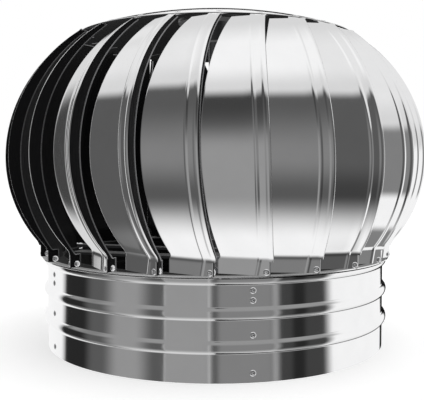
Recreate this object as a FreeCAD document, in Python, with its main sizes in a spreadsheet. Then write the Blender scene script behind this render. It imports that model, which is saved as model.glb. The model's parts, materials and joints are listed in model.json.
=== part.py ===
import FreeCAD, Part

import math
import os
import re

import Sketcher

# Rotating cowl for a round flue or duct. The fixed body is a beaded neck with three flat-bar arms, a hub and
# an upright spindle. The rotor turns on the spindle: a domed top plate, a ring of curved and flanged vanes,
# a flat bottom ring with upturned lugs, and a three-arm spider that carries the lower bearing.
# Millimetres, +Z up, origin at the centre of the neck's lower rim. Angles are counted from -Y,
# counter-clockwise from above, so that angle 0 faces the front.

SIZES = [
    ("neck_radius", 200, "outer radius of the neck's sheet"),
    ("neck_wall", 0.8, "sheet of the neck"),
    ("bead_width", 15, "height of a rolled bead"),
    ("bead_rise", 4.2, "how far a bead stands out of the neck"),
    ("bead_crest", 10, "radius of the rounded crest of a bead"),
    ("crest_share", 0.36, "share of a bead's height that its rounded crest takes"),
    ("lower_bead", 34.5, "height of the lower bead's crest"),
    ("bead_pitch", 32.4, "from there to the upper bead's crest"),
    ("rim_pitch", 33.9, "from there to the neck's flared top rim"),
    ("seam_angle", -61.5, "where the neck's lap seam is riveted"),
    ("arm_angle", 10.5, "where the first support arm stands"),
    ("arm_count", 3, "support arms"),
    ("arm_width", 25, "flat bar of a support arm"),
    ("arm_thick", 3, "thickness of that bar"),
    ("arm_foot", 4, "height of the lower end of an arm's strap"),
    ("arm_drop", 7.3, "how far below the neck's rim an arm's level part has its underside"),
    ("arm_bend", 2, "inner radius of an arm's bend"),
    ("arm_inner", 15, "radius at the inner end of an arm"),
    ("rivet_low", 9.2, "height of the lowest rivet in a neck column"),
    ("rivet_second", 11.5, "height of the second rivet above the lower bead"),
    ("rivet_third", 12.6, "height of the third rivet above the upper bead"),
    ("rivet_top", 11.8, "how far the top rivet is below the neck's rim"),
    ("rivet_radius", 1.6, "shank of a blind rivet"),
    ("rivet_head", 3.2, "radius of a blind rivet's head"),
    ("rivet_rise", 0.95, "height of that head"),
    ("rivet_tail", 2.6, "radius of the formed end of a neck rivet"),
    ("rivet_tail_rise", 2, "height of the formed end"),
    ("hub_radius", 36, "hub plate"),
    ("hub_thick", 4, "thickness of the hub plate"),
    ("hub_edge", 10, "distance of the hub bolts from the hub plate's edge"),
    ("hub_bolt", 4, "radius of a hub bolt's shank"),
    ("spindle_tail", 6.5, "how far the spindle reaches out of its lower nut"),
    ("spindle_thread", 8, "radius of the spindle's threaded foot"),
    ("collar_radius", 13, "collar that sits on the hub plate"),
    ("collar_height", 6, "height of the collar"),
    ("shoulder_radius", 9.6, "spindle under the lower bearing"),
    ("lower_bore", 7.5, "spindle in the lower bearing, and up to the upper one"),
    ("upper_bore", 6, "spindle in the upper bearing"),
    ("spindle_point", 3, "how far the spindle reaches out of its upper nut"),
    ("housing_drop", 26.5, "height of the upper housing under the top plate"),
    ("bearing_height", 9, "height of a bearing"),
    ("bearing_radius", 16, "outside of a bearing"),
    ("bearing_land", 10.6, "outside of a bearing's inner ring"),
    ("running_gap", 0.07, "between a bearing's shield and its inner ring"),
    ("seat_gap", 0.02, "between a bearing and its seat"),
    ("housing_wall", 5, "wall of a bearing housing"),
    ("housing_lip", 2.6, "how far a housing's lip reaches over the bearing's outer ring"),
    ("flange_thick", 4, "flange of a bearing housing"),
    ("flange_radius", 44, "flange of the upper housing"),
    ("lower_flange", 36, "flange of the lower housing and the spider's disc under it"),
    ("flange_edge", 9, "distance of the upper housing's bolts from its flange's edge"),
    ("lower_edge", 7.5, "distance of the lower housing's bolts from its flange's edge"),
    ("housing_bolt", 2.5, "radius of a housing bolt's shank"),
    ("hole_gap", 0.15, "between a shank and the hole that it passes"),
    ("housing_bolts", 4, "bolts in each housing's flange"),
    ("thread_gap", 0.05, "between a bolt and its nut"),
    ("bolt_head", 3.5, "height of a bolt's head"),
    ("hub_bolt_flats", 13, "across the flats of a hub bolt and its nut"),
    ("housing_bolt_flats", 8, "across the flats of a housing bolt"),
    ("hub_nut", 6.5, "height of a hub bolt's nut"),
    ("spindle_nut", 13, "height of the nut under the hub plate"),
    ("spindle_nut_flats", 24, "across its flats"),
    ("top_nut", 7, "height of the nut over the upper bearing"),
    ("top_nut_flats", 19, "across its flats"),
    ("washer", 2, "thickness of the washers on the spindle"),
    ("hub_washer", 14, "radius of the washer under the hub plate"),
    ("top_washer", 10, "radius of the washer over the upper bearing"),
    ("ring_inset", 19, "how far the bottom ring reaches in from the neck's outside"),
    ("ring_step", 6.5, "how far it reaches out past it"),
    ("ring_lift", 1.6, "gap between the neck's rim and the bottom ring"),
    ("ring_sheet", 1.2, "sheet of the bottom ring"),
    ("lug_height", 9.6, "height of the ring's upturned lugs"),
    ("spider_angle", 12.3, "where the first arm of the rotor's spider lies"),
    ("spider_arms", 3, "arms of the spider"),
    ("spider_width", 14, "arm of the spider"),
    ("spider_thick", 3, "thickness of the spider"),
    ("spider_overlap", 13, "how far a spider arm reaches onto the bottom ring"),
    ("spider_rivet_edge", 3.5, "distance of a spider arm's outer rivet from its end"),
    ("spider_rivet_pitch", 6, "distance between its two rivets"),
    ("vane_count", 24, "vanes"),
    ("vane_tilt", 19.5, "how far a vane's width is turned from the tangent"),
    ("vane_sheet", 0.8, "sheet of a vane"),
    ("foot_step", 8.98, "how far out of the neck's radius the right corner of a vane's foot stands"),
    ("foot_angle", 34.21, "angle from a vane's own direction to that corner"),
    ("left_angle", 19.74, "angle to the left corner of the foot"),
    ("vane_swell", 38.5, "how far a vane's girth stands out from its foot"),
    ("head_step", 35.35, "how far its head lies in from its foot"),
    ("girth_rise", 116.4, "height of the girth above the bottom ring"),
    ("foot_height", 20.4, "height of a vane's flat foot, up to the crease"),
    ("rim_gap", 0.6, "how far a vane's head ends below the top plate's rim"),
    ("edge_swell", 10.8, "how far the right edge bows out from the foot tab's edge"),
    ("edge_rise", 99.4, "height of the edge's widest place above the bottom ring"),
    ("edge_curve", 465, "radius of the right edge"),
    ("tab_height", 13.4, "height of the foot tab, up to the notch between it and the flange"),
    ("flange_turn", 11.7, "direction that a vane's return flange points in"),
    ("flange_depth", 13, "depth of the return flange at the girth"),
    ("flange_end", 8, "depth of the return flange at its ends"),
    ("foot_flange", 12.2, "depth of the riveted flange below the notch"),
    ("flange_stop", 6, "how far the return flange ends below the vane's head"),
    ("lug_place", 24, "distance of a vane's top lug from its left edge"),
    ("lug_span", 14, "width of the top lug"),
    ("lug_length", 18.5, "length of the top lug"),
    ("lug_gap", 0.2, "between a vane's top lug and the top plate"),
    ("lug_width", 7.6, "width of the ring's lug behind a foot tab"),
    ("fold_room", 2.5, "between that lug and the vane's right edge, where the flange folds in"),
    ("lug_start", 5, "distance of the ring's other lug from the fold"),
    ("tab_rivet", 4.5, "distance of a foot tab's rivet from the tab's right edge"),
    ("foot_rivet", 3.4, "height of the rivets in the feet above the bottom ring"),
    ("flange_rivet", 8.7, "distance of the flange rivet from the fold"),
    ("dome_rise", 283.4, "height of the top plate's peak, were it domed all over, above the bottom ring"),
    ("dome_curve", 500, "radius of the dome"),
    ("flat_margin", 6, "how far its flat middle reaches out past the upper housing"),
    ("rim_step", 34, "how much smaller its radius is than the neck's"),
    ("dome_sheet", 1, "sheet of the top plate"),
]

doc = FreeCAD.newDocument("RotatingCowl")
sheet = doc.addObject("Spreadsheet::Sheet", "Sizes")
for row, (alias, number, note) in enumerate(SIZES, 1):
    sheet.set(f"A{row}", alias)
    sheet.set(f"B{row}", str(number))
    sheet.setAlias(f"B{row}", alias)
    sheet.set(f"C{row}", note)
doc.recompute()

# Places that follow from the sizes

UPPER_BEAD = "(lower_bead + bead_pitch)"
NECK_TOP = f"({UPPER_BEAD} + rim_pitch)"
ARM_SEAT = f"({NECK_TOP} - arm_drop)"
RING_HEIGHT = f"({NECK_TOP} + ring_lift)"
RING_TOP = f"({RING_HEIGHT} + ring_sheet)"
RING_INNER = "(neck_radius - ring_inset)"
HUB_CIRCLE = "(hub_radius - hub_edge)"
HOUSING_CIRCLE = "(flange_radius - flange_edge)"
LOWER_CIRCLE = "(lower_flange - lower_edge)"
SPIDER_REACH = f"({RING_INNER} + spider_overlap)"
SPIDER_RIVETS = (
    f"({SPIDER_REACH} - spider_rivet_edge - spider_rivet_pitch)",
    f"({SPIDER_REACH} - spider_rivet_edge)",
)
NECK_RIVETS = (
    "rivet_low", "(lower_bead + rivet_second)", f"({UPPER_BEAD} + rivet_third)", f"({NECK_TOP} - rivet_top)",
)
DOME_RIM = "(neck_radius - rim_step)"
DOME_FLAT = "(flange_radius + flat_margin)"
DOME_CENTRE = f"({RING_TOP} + dome_rise - dome_curve)"
FLAT_TOP = f"({DOME_CENTRE} + sqrt(dome_curve ^ 2 - {DOME_FLAT} ^ 2))"
FLAT_UNDER = f"({DOME_CENTRE} + sqrt((dome_curve - dome_sheet) ^ 2 - {DOME_FLAT} ^ 2))"
RIM_TOP = f"({DOME_CENTRE} + sqrt(dome_curve ^ 2 - {DOME_RIM} ^ 2))"
RIM_UNDER = f"({DOME_CENTRE} + sqrt((dome_curve - dome_sheet) ^ 2 - {DOME_RIM} ^ 2))"
LOWER_BEARING = f"({RING_TOP} + spider_thick)"
UPPER_BEARING = f"({FLAT_UNDER} - housing_drop)"
FOOT_FACE = "((neck_radius + foot_step) * cos(foot_angle))"
TAB_EDGE = "((neck_radius + foot_step) * sin(foot_angle))"
VANE_LEFT = f"({FOOT_FACE} * tan(left_angle))"
VANE_TOP = f"({RIM_UNDER} - rim_gap)"
KINK_HEIGHT = f"({RING_TOP} + foot_height)"
GIRTH_HEIGHT = f"({RING_TOP} + girth_rise)"
GIRTH = f"({FOOT_FACE} + vane_swell)"
HEAD_FACE = f"({FOOT_FACE} - head_step)"
LOWER_CURVE = f"((({GIRTH_HEIGHT} - {KINK_HEIGHT}) ^ 2 + vane_swell ^ 2) / (2 * vane_swell))"
HEAD_SWELL = "(vane_swell + head_step)"
UPPER_CURVE = f"((({VANE_TOP} - {GIRTH_HEIGHT}) ^ 2 + {HEAD_SWELL} ^ 2) / (2 * {HEAD_SWELL}))"

UP = FreeCAD.Vector(0, 0, 1)
ORIGIN = FreeCAD.Vector(0, 0, 0)
STEM = "Sizes."
nodes = []


def tied(text):
    """The expression with each size looked up in the sheet."""
    return re.sub(r"\b([a-z]+(?:_[a-z]+)*)\b(?!\()", STEM + r"\1", text)


def value(text):
    """The number that an expression over the sheet gives."""
    return float(sheet.evalExpression(tied(text)))


def turned_by(degrees):
    """A placement that turns about the axis."""
    return FreeCAD.Placement(ORIGIN, FreeCAD.Rotation(UP, degrees))


def at_angle(degrees, radius, height):
    """The point at an angle from the front, a radius and a height."""
    turn = math.radians(degrees)
    return FreeCAD.Vector(radius * math.sin(turn), -radius * math.cos(turn), height)


def outward(degrees):
    return at_angle(degrees, 1, 0)


# Helpers for bodies and sketches

def new_body(label):
    body = doc.addObject("PartDesign::Body", label)
    body.Label = label
    nodes.append(body)
    return body


def new_sketch(body, name, role, lift=None, turn=None):
    """A sketch on an origin plane of the body. lift is its distance from it, turn its turn about Z."""
    sketch = body.newObject("Sketcher::SketchObject", name)
    plane = next(feature for feature in body.Origin.OriginFeatures if feature.Role == role)
    sketch.AttachmentSupport = (plane, [""])
    sketch.MapMode = "FlatFace"
    if turn is not None:
        axis = UP if role == "XY_Plane" else FreeCAD.Vector(0, 1, 0)
        sketch.AttachmentOffset = FreeCAD.Placement(ORIGIN, FreeCAD.Rotation(axis, value(turn)))
        sketch.setExpression("AttachmentOffset.Rotation.Angle", tied(turn))
    if lift is not None:
        sketch.setExpression("AttachmentOffset.Base.z", tied(lift))
    return sketch


def pin(sketch, geometry, end, across, up):
    """Ties one point of a sketch to two expressions."""
    for kind, axis, text in (("DistanceX", -2, across), ("DistanceY", -1, up)):
        number = value(text)
        if abs(number) < 1e-9:
            sketch.addConstraint(Sketcher.Constraint("PointOnObject", geometry, end, axis))
        else:
            index = sketch.addConstraint(Sketcher.Constraint(kind, -1, 1, geometry, end, number))
            sketch.setExpression(f"Constraints[{index}]", tied(text))


def draw_outline(sketch, corners):
    """A closed outline. A corner is (across, up), each an expression. A third entry makes the side that
    leaves it an arc of that radius, which bulges to the right of its chord, or left with a minus sign."""
    points = [FreeCAD.Vector(value(corner[0]), value(corner[1]), 0) for corner in corners]
    sides = []
    for index, corner in enumerate(corners):
        start, end = points[index], points[(index + 1) % len(points)]
        if len(corner) == 2:
            geometry = sketch.addGeometry(Part.LineSegment(start, end))
            sides.append((geometry, 1, 2))
            continue
        to_right = not corner[2].startswith("-")
        text = corner[2].lstrip("-")
        radius = value(text)
        chord = end - start
        left = FreeCAD.Vector(-chord.y, chord.x, 0).normalize()
        height = math.sqrt(radius ** 2 - (chord.Length / 2) ** 2)
        centre = (start + end) * 0.5 + left * (height if to_right else -height)
        first, last = (start, end) if to_right else (end, start)
        angles = [math.atan2(point.y - centre.y, point.x - centre.x) for point in (first, last)]
        if angles[1] < angles[0]:
            angles[1] += 2 * math.pi
        geometry = sketch.addGeometry(Part.ArcOfCircle(Part.Circle(centre, UP, radius), *angles))
        index_radius = sketch.addConstraint(Sketcher.Constraint("Radius", geometry, radius))
        sketch.setExpression(f"Constraints[{index_radius}]", tied(text))
        sides.append((geometry, 1, 2) if to_right else (geometry, 2, 1))
    for index, (geometry, start, _) in enumerate(sides):
        before, _, end = sides[index - 1]
        sketch.addConstraint(Sketcher.Constraint("Coincident", before, end, geometry, start))
        pin(sketch, geometry, start, corners[index][0], corners[index][1])


def draw_circle(sketch, radius, across="0", up="0"):
    centre = FreeCAD.Vector(value(across), value(up), 0)
    geometry = sketch.addGeometry(Part.Circle(centre, UP, value(radius)))
    index = sketch.addConstraint(Sketcher.Constraint("Radius", geometry, value(radius)))
    sketch.setExpression(f"Constraints[{index}]", tied(radius))
    pin(sketch, geometry, 3, across, up)


def revolve(body, corners):
    """A turned or spun piece: an outline of radius and height goes round the axis."""
    sketch = new_sketch(body, body.Label + "_section", "XZ_Plane")
    draw_outline(sketch, corners)
    turn = body.newObject("PartDesign::Revolution", body.Label + "_turned")
    turn.Profile = sketch
    turn.ReferenceAxis = (sketch, ["V_Axis"])
    turn.Angle = 360
    doc.recompute()
    return turn


def pad(body, sketch, length, both_ways=False):
    feature = body.newObject("PartDesign::Pad", sketch.Label + "_pad")
    feature.Profile = sketch
    feature.setExpression("Length", tied(length))
    if both_ways:
        feature.SideType = "Symmetric"
    doc.recompute()
    return feature


def cut(body, sketch, outwards=False):
    """Cuts a sketch right through: both ways, or only the way that the sketch faces."""
    before = body.Shape.Volume
    feature = body.newObject("PartDesign::Pocket", sketch.Label + "_cut")
    feature.Profile = sketch
    feature.Type = "ThroughAll"
    if outwards:
        feature.Reversed = True
    else:
        feature.SideType = "Symmetric"
    doc.recompute()
    if body.Shape.Volume >= before:
        raise RuntimeError(sketch.Label + " cuts nothing")
    return feature


def repeat_round(body, features, count):
    """Repeats features about the axis."""
    pattern = body.newObject("PartDesign::PolarPattern", features[0].Label + "_round")
    pattern.Originals = features
    axis = next(feature for feature in body.Origin.OriginFeatures if feature.Role == "Z_Axis")
    pattern.Axis = (axis, [""])
    pattern.Angle = 360
    pattern.setExpression("Occurrences", tied(count))
    body.Tip = pattern
    doc.recompute()
    return pattern


def group(label, solids):
    """A node of like solids, or of one that no sketch makes."""
    feature = doc.addObject("Part::Feature", label)
    feature.Label = label
    feature.Shape = Part.makeCompound(solids)
    nodes.append(feature)
    return feature


# Fixed body: the neck

def bead(crest, inset, upwards=True):
    """Corners of a rolled bead, from its start to its end: straight flanks and a rounded crest."""
    radius = f"neck_radius - {inset}"
    half, crest_half = "bead_width / 2", "bead_width * crest_share / 2"
    drop = f"(bead_crest - sqrt(bead_crest ^ 2 - ({crest_half}) ^ 2))"
    peak = f"{radius} + bead_rise - {drop}"
    low, high = ("-", "+") if upwards else ("+", "-")
    return [
        (radius, f"{crest} {low} {half}"),
        (peak, f"{crest} {low} {crest_half}", "bead_crest" if upwards else "-bead_crest"),
        (peak, f"{crest} {high} {crest_half}"),
        (radius, f"{crest} {high} {half}"),
    ]


def flare(inset, upwards=True):
    """Corners of the neck's top rim, half a bead that ends at its crest."""
    radius = f"neck_radius - {inset}"
    drop = "(bead_crest - sqrt(bead_crest ^ 2 - (bead_width * crest_share / 2) ^ 2))"
    start = (radius, f"{NECK_TOP} - bead_width / 2")
    shoulder = (f"{radius} + bead_rise - {drop}", f"{NECK_TOP} - bead_width * crest_share / 2")
    end = (f"{radius} + bead_rise", NECK_TOP)
    return [start, shoulder + ("bead_crest",), end] if upwards else [end + ("-bead_crest",), shoulder, start]


neck = new_body("neck_shell")
revolve(
    neck,
    [("neck_radius", "0")]
    + bead("lower_bead", "0")
    + bead(UPPER_BEAD, "0")
    + flare("0")
    + flare("neck_wall", False)
    + bead(UPPER_BEAD, "neck_wall", False)
    + bead("lower_bead", "neck_wall", False)
    + [("neck_radius - neck_wall", "0")],
)


def rivet_column(body, name, turn):
    """Rivet holes one above the other, through the wall that faces the angle."""
    sketch = new_sketch(body, name, "XZ_Plane", turn=turn)
    for height in NECK_RIVETS:
        draw_circle(sketch, "rivet_radius + hole_gap", "0", height)
    return cut(body, sketch, outwards=True)


arm_column = rivet_column(neck, "arm_rivet_holes", "arm_angle")
repeat_round(neck, [arm_column], "arm_count")
rivet_column(neck, "seam_rivet_holes", "seam_angle")

# Fixed body: the support arms, flat bars that are bent in at the top and riveted to the neck

ARM_FACE = "sqrt((neck_radius - neck_wall - hole_gap) ^ 2 - (arm_width / 2) ^ 2)"
arm_count = int(value("arm_count"))

for number in range(arm_count):
    arm = new_body(f"support_arm_{number + 1}")
    side = new_sketch(arm, f"arm_side_{number + 1}", "YZ_Plane")
    draw_outline(side, [
        (f"-({ARM_FACE})", "arm_foot"),
        (f"-({ARM_FACE} - arm_thick)", "arm_foot"),
        (f"-({ARM_FACE} - arm_thick)", f"{ARM_SEAT} - arm_bend", "-arm_bend"),
        (f"-({ARM_FACE} - arm_thick - arm_bend)", ARM_SEAT),
        ("-arm_inner", ARM_SEAT),
        ("-arm_inner", f"{ARM_SEAT} + arm_thick"),
        (f"-({ARM_FACE} - arm_thick - arm_bend)", f"{ARM_SEAT} + arm_thick", "arm_bend + arm_thick"),
        (f"-({ARM_FACE})", f"{ARM_SEAT} - arm_bend"),
    ])
    pad(arm, side, "arm_width", both_ways=True)
    strap_holes = new_sketch(arm, f"strap_holes_{number + 1}", "XZ_Plane")
    for height in NECK_RIVETS:
        draw_circle(strap_holes, "rivet_radius + hole_gap", "0", height)
    cut(arm, strap_holes, outwards=True)
    hub_hole = new_sketch(arm, f"arm_hub_hole_{number + 1}", "XY_Plane")
    draw_circle(hub_hole, "hub_bolt + hole_gap", "0", f"-{HUB_CIRCLE}")
    cut(arm, hub_hole)
    arm.Placement = turned_by(value("arm_angle") + number * 360 / arm_count)

# Fixed body: the hub plate, the spindle and the inner rings of the two bearings

hub = new_body("hub_plate")
hub_disc = new_sketch(hub, "hub_disc", "XY_Plane", lift=f"{ARM_SEAT} - hub_thick")
draw_circle(hub_disc, "hub_radius")
pad(hub, hub_disc, "hub_thick")
spindle_hole = new_sketch(hub, "spindle_hole", "XY_Plane")
draw_circle(spindle_hole, "spindle_thread + hole_gap")
cut(hub, spindle_hole)
hub_bolt_hole = new_sketch(hub, "hub_bolt_hole", "XY_Plane")
draw_circle(hub_bolt_hole, "hub_bolt + hole_gap", "0", f"-{HUB_CIRCLE}")
repeat_round(hub, [cut(hub, hub_bolt_hole)], "arm_count")
hub.Placement = turned_by(value("arm_angle"))

SPINDLE_END = f"({ARM_SEAT} - hub_thick - washer - spindle_nut - spindle_tail)"
SPINDLE_TOP = f"({UPPER_BEARING} + bearing_height + washer + top_nut + spindle_point)"
spindle = new_body("spindle")
revolve(spindle, [
    ("0", SPINDLE_END),
    ("spindle_thread", SPINDLE_END),
    ("spindle_thread", ARM_SEAT),
    ("collar_radius", ARM_SEAT),
    ("collar_radius", f"{ARM_SEAT} + collar_height"),
    ("shoulder_radius", f"{ARM_SEAT} + collar_height"),
    ("shoulder_radius", LOWER_BEARING),
    ("lower_bore", LOWER_BEARING),
    ("lower_bore", UPPER_BEARING),
    ("upper_bore", UPPER_BEARING),
    ("upper_bore", SPINDLE_TOP),
    ("0", SPINDLE_TOP),
])


def ring_body(label, inner, outer, low, high):
    """A turned ring of plain rectangular section."""
    body = new_body(label)
    revolve(body, [(inner, low), (outer, low), (outer, high), (inner, high)])
    return body


for label, bore, low in (
    ("lower_inner_ring", "lower_bore", LOWER_BEARING),
    ("upper_inner_ring", "upper_bore", UPPER_BEARING),
):
    ring_body(label, f"{bore} + seat_gap", "bearing_land", low, f"{low} + bearing_height")

# Rotor: the outer rings of the bearings, shields included, and their housings

for label, low in (("lower_outer_ring", LOWER_BEARING), ("upper_outer_ring", UPPER_BEARING)):
    ring_body(label, "bearing_land + running_gap", "bearing_radius", low, f"{low} + bearing_height")

BORE = "bearing_radius + seat_gap"
LIP = "bearing_radius - housing_lip"
HOUSING = "bearing_radius + housing_wall"


def housing(label, corners, bolt_circle):
    """A turned bearing housing with a bolted flange."""
    body = new_body(label)
    revolve(body, corners)
    hole = new_sketch(body, label + "_bolt_hole", "XY_Plane")
    draw_circle(hole, "housing_bolt + hole_gap", "0", f"-{bolt_circle}")
    repeat_round(body, [cut(body, hole)], "housing_bolts")
    return body


housing("upper_housing", [
    (BORE, UPPER_BEARING),
    (HOUSING, UPPER_BEARING),
    (HOUSING, f"{FLAT_UNDER} - flange_thick"),
    ("flange_radius", f"{FLAT_UNDER} - flange_thick"),
    ("flange_radius", FLAT_UNDER),
    (LIP, FLAT_UNDER),
    (LIP, f"{UPPER_BEARING} + bearing_height"),
    (BORE, f"{UPPER_BEARING} + bearing_height"),
], HOUSING_CIRCLE)
lower_housing = housing("lower_housing", [
    (BORE, LOWER_BEARING),
    ("lower_flange", LOWER_BEARING),
    ("lower_flange", f"{LOWER_BEARING} + flange_thick"),
    (HOUSING, f"{LOWER_BEARING} + flange_thick"),
    (HOUSING, f"{LOWER_BEARING} + bearing_height + flange_thick"),
    (LIP, f"{LOWER_BEARING} + bearing_height + flange_thick"),
    (LIP, f"{LOWER_BEARING} + bearing_height"),
    (BORE, f"{LOWER_BEARING} + bearing_height"),
], LOWER_CIRCLE)
lower_housing.Placement = turned_by(value("spider_angle"))

# Rotor: the domed top plate with a flat middle for the upper housing

top_plate = new_body("top_plate")
revolve(top_plate, [
    ("0", FLAT_UNDER),
    (DOME_FLAT, FLAT_UNDER, "-(dome_curve - dome_sheet)"),
    (DOME_RIM, RIM_UNDER),
    (DOME_RIM, RIM_TOP, "dome_curve"),
    (DOME_FLAT, FLAT_TOP),
    ("0", FLAT_TOP),
])
plate_hole = new_sketch(top_plate, "plate_bolt_hole", "XY_Plane")
draw_circle(plate_hole, "housing_bolt + hole_gap", "0", f"-{HOUSING_CIRCLE}")
repeat_round(top_plate, [cut(top_plate, plate_hole)], "housing_bolts")

# Rotor: the bottom ring, a flat web with two upturned lugs for each vane's foot
# Across a vane, x runs along its width and -y out through its face, so that a vane is drawn square to the
# axes and then turned into place.

FOLD_TURN = "(vane_tilt + flange_turn)"
FOLD_ACROSS = f"({TAB_EDGE} * cos({FOLD_TURN}) - {FOOT_FACE} * sin({FOLD_TURN}))"
FOLD_OUT = f"({TAB_EDGE} * sin({FOLD_TURN}) + {FOOT_FACE} * cos({FOLD_TURN}))"

bottom_ring = new_body("bottom_ring")
web = new_sketch(bottom_ring, "web", "XY_Plane", lift=RING_HEIGHT)
draw_circle(web, "neck_radius + ring_step")
draw_circle(web, RING_INNER)
pad(bottom_ring, web, "ring_sheet")


def lug(name, turn, left, right, near, far):
    """An upturned lug: a rectangle on the web, from left to right and from near to far from the axis."""
    sketch = new_sketch(bottom_ring, name, "XY_Plane", lift=RING_HEIGHT, turn=turn)
    draw_outline(sketch, [(left, f"-{far}"), (right, f"-{far}"), (right, f"-{near}"), (left, f"-{near}")])
    return pad(bottom_ring, sketch, "lug_height")


tab_lug = lug(
    "tab_lug", None, f"{TAB_EDGE} - fold_room - lug_width", f"{TAB_EDGE} - fold_room",
    f"({FOOT_FACE} - vane_sheet - ring_sheet)", f"({FOOT_FACE} - vane_sheet)",
)
flange_lug = lug(
    "flange_lug", FOLD_TURN,
    f"{FOLD_ACROSS} - vane_sheet - ring_sheet", f"{FOLD_ACROSS} - vane_sheet",
    f"({FOLD_OUT} - foot_flange)", f"({FOLD_OUT} - lug_start)",
)
repeat_round(bottom_ring, [tab_lug, flange_lug], "vane_count")
ring_holes = new_sketch(bottom_ring, "ring_rivet_holes", "XY_Plane", turn="spider_angle + vane_tilt")
for radius in SPIDER_RIVETS:
    draw_circle(ring_holes, "rivet_radius + hole_gap", "0", f"-{radius}")
repeat_round(bottom_ring, [cut(bottom_ring, ring_holes)], "spider_arms")
bottom_ring.Placement = turned_by(-value("vane_tilt"))

# Rotor: the spider, a disc and flat arms in one sheet, which lies on the bottom ring

spider = new_body("rotor_spider")
spider_disc = new_sketch(spider, "spider_disc", "XY_Plane", lift=RING_TOP)
draw_circle(spider_disc, "lower_flange")
pad(spider, spider_disc, "spider_thick")
spider_arm = new_sketch(spider, "spider_arm", "XY_Plane", lift=RING_TOP)
draw_outline(spider_arm, [
    ("-spider_width / 2", f"-{SPIDER_REACH}"),
    ("spider_width / 2", f"-{SPIDER_REACH}"),
    ("spider_width / 2", "-lower_flange / 2"),
    ("-spider_width / 2", "-lower_flange / 2"),
])
repeat_round(spider, [pad(spider, spider_arm, "spider_thick")], "spider_arms")
arm_holes = new_sketch(spider, "spider_rivet_holes", "XY_Plane")
for radius in SPIDER_RIVETS:
    draw_circle(arm_holes, "rivet_radius + hole_gap", "0", f"-{radius}")
repeat_round(spider, [cut(spider, arm_holes)], "spider_arms")
centre_hole = new_sketch(spider, "spider_centre_hole", "XY_Plane")
draw_circle(centre_hole, LIP)
cut(spider, centre_hole)
spider_bolt_hole = new_sketch(spider, "spider_bolt_hole", "XY_Plane")
draw_circle(spider_bolt_hole, "housing_bolt + hole_gap", "0", f"-{LOWER_CIRCLE}")
repeat_round(spider, [cut(spider, spider_bolt_hole)], "housing_bolts")
spider.Placement = turned_by(value("spider_angle"))

# Rotor: the vanes, each one sheet with a curved profile, a flat foot, a bowed right edge with a return
# flange folded in along it, and a lug that reaches under the top plate

BACK = 10  # how far behind the axis a prism that runs right through a vane starts
HEAD_SIDES = 8  # sides of a rivet's head, kept few because there are so many
girth, girth_height = value(GIRTH), value(GIRTH_HEIGHT)
upper_curve, lower_curve = value(UPPER_CURVE), value(LOWER_CURVE)
foot_face, foot_low = value(FOOT_FACE), value(RING_TOP)
vane_sheet, vane_top = value("vane_sheet"), value(VANE_TOP)
flange_top = value(f"{VANE_TOP} - flange_stop")
kink_height, notch_height = value(KINK_HEIGHT), value(f"{RING_TOP} + tab_height")
vane_left, tab_edge = value(VANE_LEFT), value(TAB_EDGE)
edge_reach, edge_height = value(f"{TAB_EDGE} + edge_swell"), value(f"{RING_TOP} + edge_rise")
edge_curve = value("edge_curve")
fold_turn = math.radians(value(FOLD_TURN))
fold_in = FreeCAD.Vector(-math.sin(fold_turn), math.cos(fold_turn), 0)
fold_out_side = FreeCAD.Vector(math.cos(fold_turn), math.sin(fold_turn), 0)
dome_centre = FreeCAD.Vector(0, 0, value(DOME_CENTRE))
ball_radius = value("dome_curve - dome_sheet - lug_gap")
lug_left, lug_span = vane_left + value("lug_place"), value("lug_span")
lug_right, lug_reach = lug_left + lug_span, value(f"{HEAD_FACE} - lug_length")
lug_peak = dome_centre.z + math.sqrt(ball_radius ** 2 - lug_left ** 2 - lug_reach ** 2)
blank_top = lug_peak + vane_sheet


def bow(radius, centre, low, high):
    """The arc of a profile between two heights. It bulges outwards about a centre at the girth's height."""
    def point(height):
        rise = height - girth_height
        return FreeCAD.Vector(0, -(centre + math.sqrt(radius ** 2 - rise ** 2)), height)
    return Part.Arc(point(low), point((low + high) / 2), point(high))


def profile(inset, high):
    """Foot, lower and upper stretch of a vane's profile, inset from its face, up to a height."""
    centre_low, centre_high = girth - lower_curve, girth - upper_curve
    face = foot_face - inset
    kink = girth_height - math.sqrt((lower_curve - inset) ** 2 - (face - centre_low) ** 2)
    foot = Part.LineSegment(FreeCAD.Vector(0, -face, foot_low), FreeCAD.Vector(0, -face, kink))
    lower = bow(lower_curve - inset, centre_low, kink, girth_height)
    upper = bow(upper_curve - inset, centre_high, girth_height, high)
    return [foot, lower, upper]


def inside(curves):
    """Everything between the axis and a profile, right across a vane."""
    start, end = curves[0].StartPoint, curves[-1].EndPoint
    foot_back = FreeCAD.Vector(0, BACK, start.z)
    top_back = FreeCAD.Vector(0, BACK, end.z)
    sides = [Part.LineSegment(end, top_back), Part.LineSegment(top_back, foot_back)]
    sides.append(Part.LineSegment(foot_back, start))
    wire = Part.Wire([curve.toShape() for curve in curves + sides])
    return Part.Face(wire).extrude(FreeCAD.Vector(2 * edge_reach, 0, 0))


def through(points_and_curves):
    """A prism that runs right through a vane, from an outline seen from its front."""
    wire = Part.Wire([curve.toShape() for curve in points_and_curves])
    return Part.Face(wire).extrude(FreeCAD.Vector(0, -2 * girth, 0))


def seen(across, height):
    return FreeCAD.Vector(across, BACK, height)


def edge_at(height):
    """Where the right edge lies across the vane."""
    return edge_reach - edge_curve + math.sqrt(edge_curve ** 2 - (height - edge_height) ** 2)


def edge_arc(shift, low, high):
    heights = (low, (low + high) / 2, high)
    return Part.Arc(*(seen(edge_at(height) - shift, height) for height in heights))


def polyline(points):
    return [Part.LineSegment(start, end) for start, end in zip(points, points[1:])]


def box_seen(left, right, low, high):
    corners = [seen(left, low), seen(right, low), seen(right, high), seen(left, high), seen(left, low)]
    return through(polyline(corners))


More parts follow.
